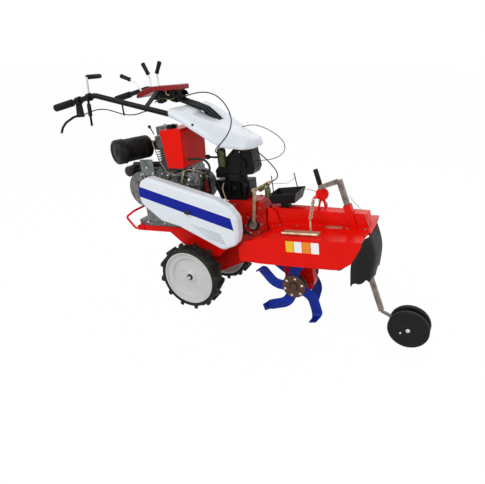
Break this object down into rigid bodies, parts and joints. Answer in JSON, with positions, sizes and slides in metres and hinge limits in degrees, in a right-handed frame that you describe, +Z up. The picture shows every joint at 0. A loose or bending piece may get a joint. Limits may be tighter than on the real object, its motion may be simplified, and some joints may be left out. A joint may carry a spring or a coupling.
{
  "type": "mini tiller",
  "caption": "Walk-behind mini tiller with an upright diesel engine, two lugged drive wheels, a narrow hooded rotor, a swivelling handlebar and a pair of gauge wheels",
  "frame": {"origin": "On the floor, under the middle of the machine's length and on its centre plane", "axes": "+X points from the operator to the tiller and gauge wheels, +Y to the left of an operator who looks along +X, +Z up"},
  "size_m": [1.9441, 0.4984, 1.2224],
  "materials": {
    "red_paint": "glossy enamel",
    "white_paint": "glossy enamel",
    "black_paint": "satin",
    "blue_paint": "satin enamel on forged steel",
    "dark_red_paint": "semi-gloss enamel",
    "tyre_rubber": "matte",
    "black_rubber": "matte",
    "black_plastic": "fine grain",
    "cast_alloy": "as cast",
    "zinc_steel": "yellow-passivated zinc",
    "steel": "bare, brushed",
    "dark_casting": "heat-darkened"
  },
  "bodies": {
    "chassis": {"gearbox": "red_paint", "engine_bed": "red_paint", "front_bumper": "red_paint", "engine_crankcase": "cast_alloy", "engine_barrel": "cast_alloy", "engine_head": "cast_alloy", "fan_housing": "black_paint", "air_cleaner": "black_plastic", "exhaust": "dark_casting", "fuel_tank": "red_paint", "fuel_cap": "black_plastic", "injector_pipe": "steel", "fuel_hose": "black_rubber", "belt_cover": "white_paint", "column": "black_paint", "cable_to_shift": "black_plastic", "hood_frame": "red_paint", "side_cover_right": "red_paint", "side_cover_left": "red_paint", "cover_chains": "zinc_steel", "chain_case": "red_paint", "shift_lever": "zinc_steel", "tool_tray": "black_paint", "lift_lever": "red_paint", "bar_socket": "red_paint", "rear_flap": "black_rubber"},
    "handlebar": {"swivel_head": "black_paint", "handlebar_tubes": "black_paint", "grip_right": "black_rubber", "grip_left": "black_rubber", "control_box": "dark_red_paint", "control_levers": "steel", "brake_lever": "black_paint", "clutch_lever": "black_paint", "cowl": "white_paint", "cable_over_cowl": "black_plastic", "cable_around_nose": "black_plastic"},
    "drive_wheel_right": {"tyre_right": "tyre_rubber", "wheel_right": "white_paint"},
    "drive_wheel_left": {"tyre_left": "tyre_rubber", "wheel_left": "white_paint"},
    "rotor": {"rotor_shaft": "zinc_steel", "tines": "blue_paint"},
    "depth_rod": {"depth_bar": "steel"},
    "gauge_pair": {"gauge_wheels": "black_rubber"}
  },
  "joints": [
    {"name": "handlebar_swivel", "type": "hinge", "parent": "chassis", "child": "handlebar", "pos_m": [-0.03945, 0, 0.69262], "axis": [-0.1219, 0, 0.9925], "range_deg": [-25, 25]},
    {"name": "drive_wheel_right_spin", "type": "hinge", "parent": "chassis", "child": "drive_wheel_right", "pos_m": [-0.21, -0.186, 0.178], "axis": [0, 1, 0], "continuous": true},
    {"name": "drive_wheel_left_spin", "type": "hinge", "parent": "chassis", "child": "drive_wheel_left", "pos_m": [-0.21, 0.186, 0.178], "axis": [0, 1, 0], "continuous": true},
    {"name": "rotor_spin", "type": "hinge", "parent": "chassis", "child": "rotor", "pos_m": [0.33048, 0, 0.20708], "axis": [0, 1, 0], "continuous": true},
    {"name": "depth_slide", "type": "slide", "parent": "chassis", "child": "depth_rod", "axis": [0.3939, 0, -0.9192], "range_m": [-0.06, 0.08]},
    {"name": "gauge_wheel_spin", "type": "hinge", "parent": "depth_rod", "child": "gauge_pair", "pos_m": [0.878, -0.024, 0.094], "axis": [0, 1, 0], "continuous": true}
  ]
}
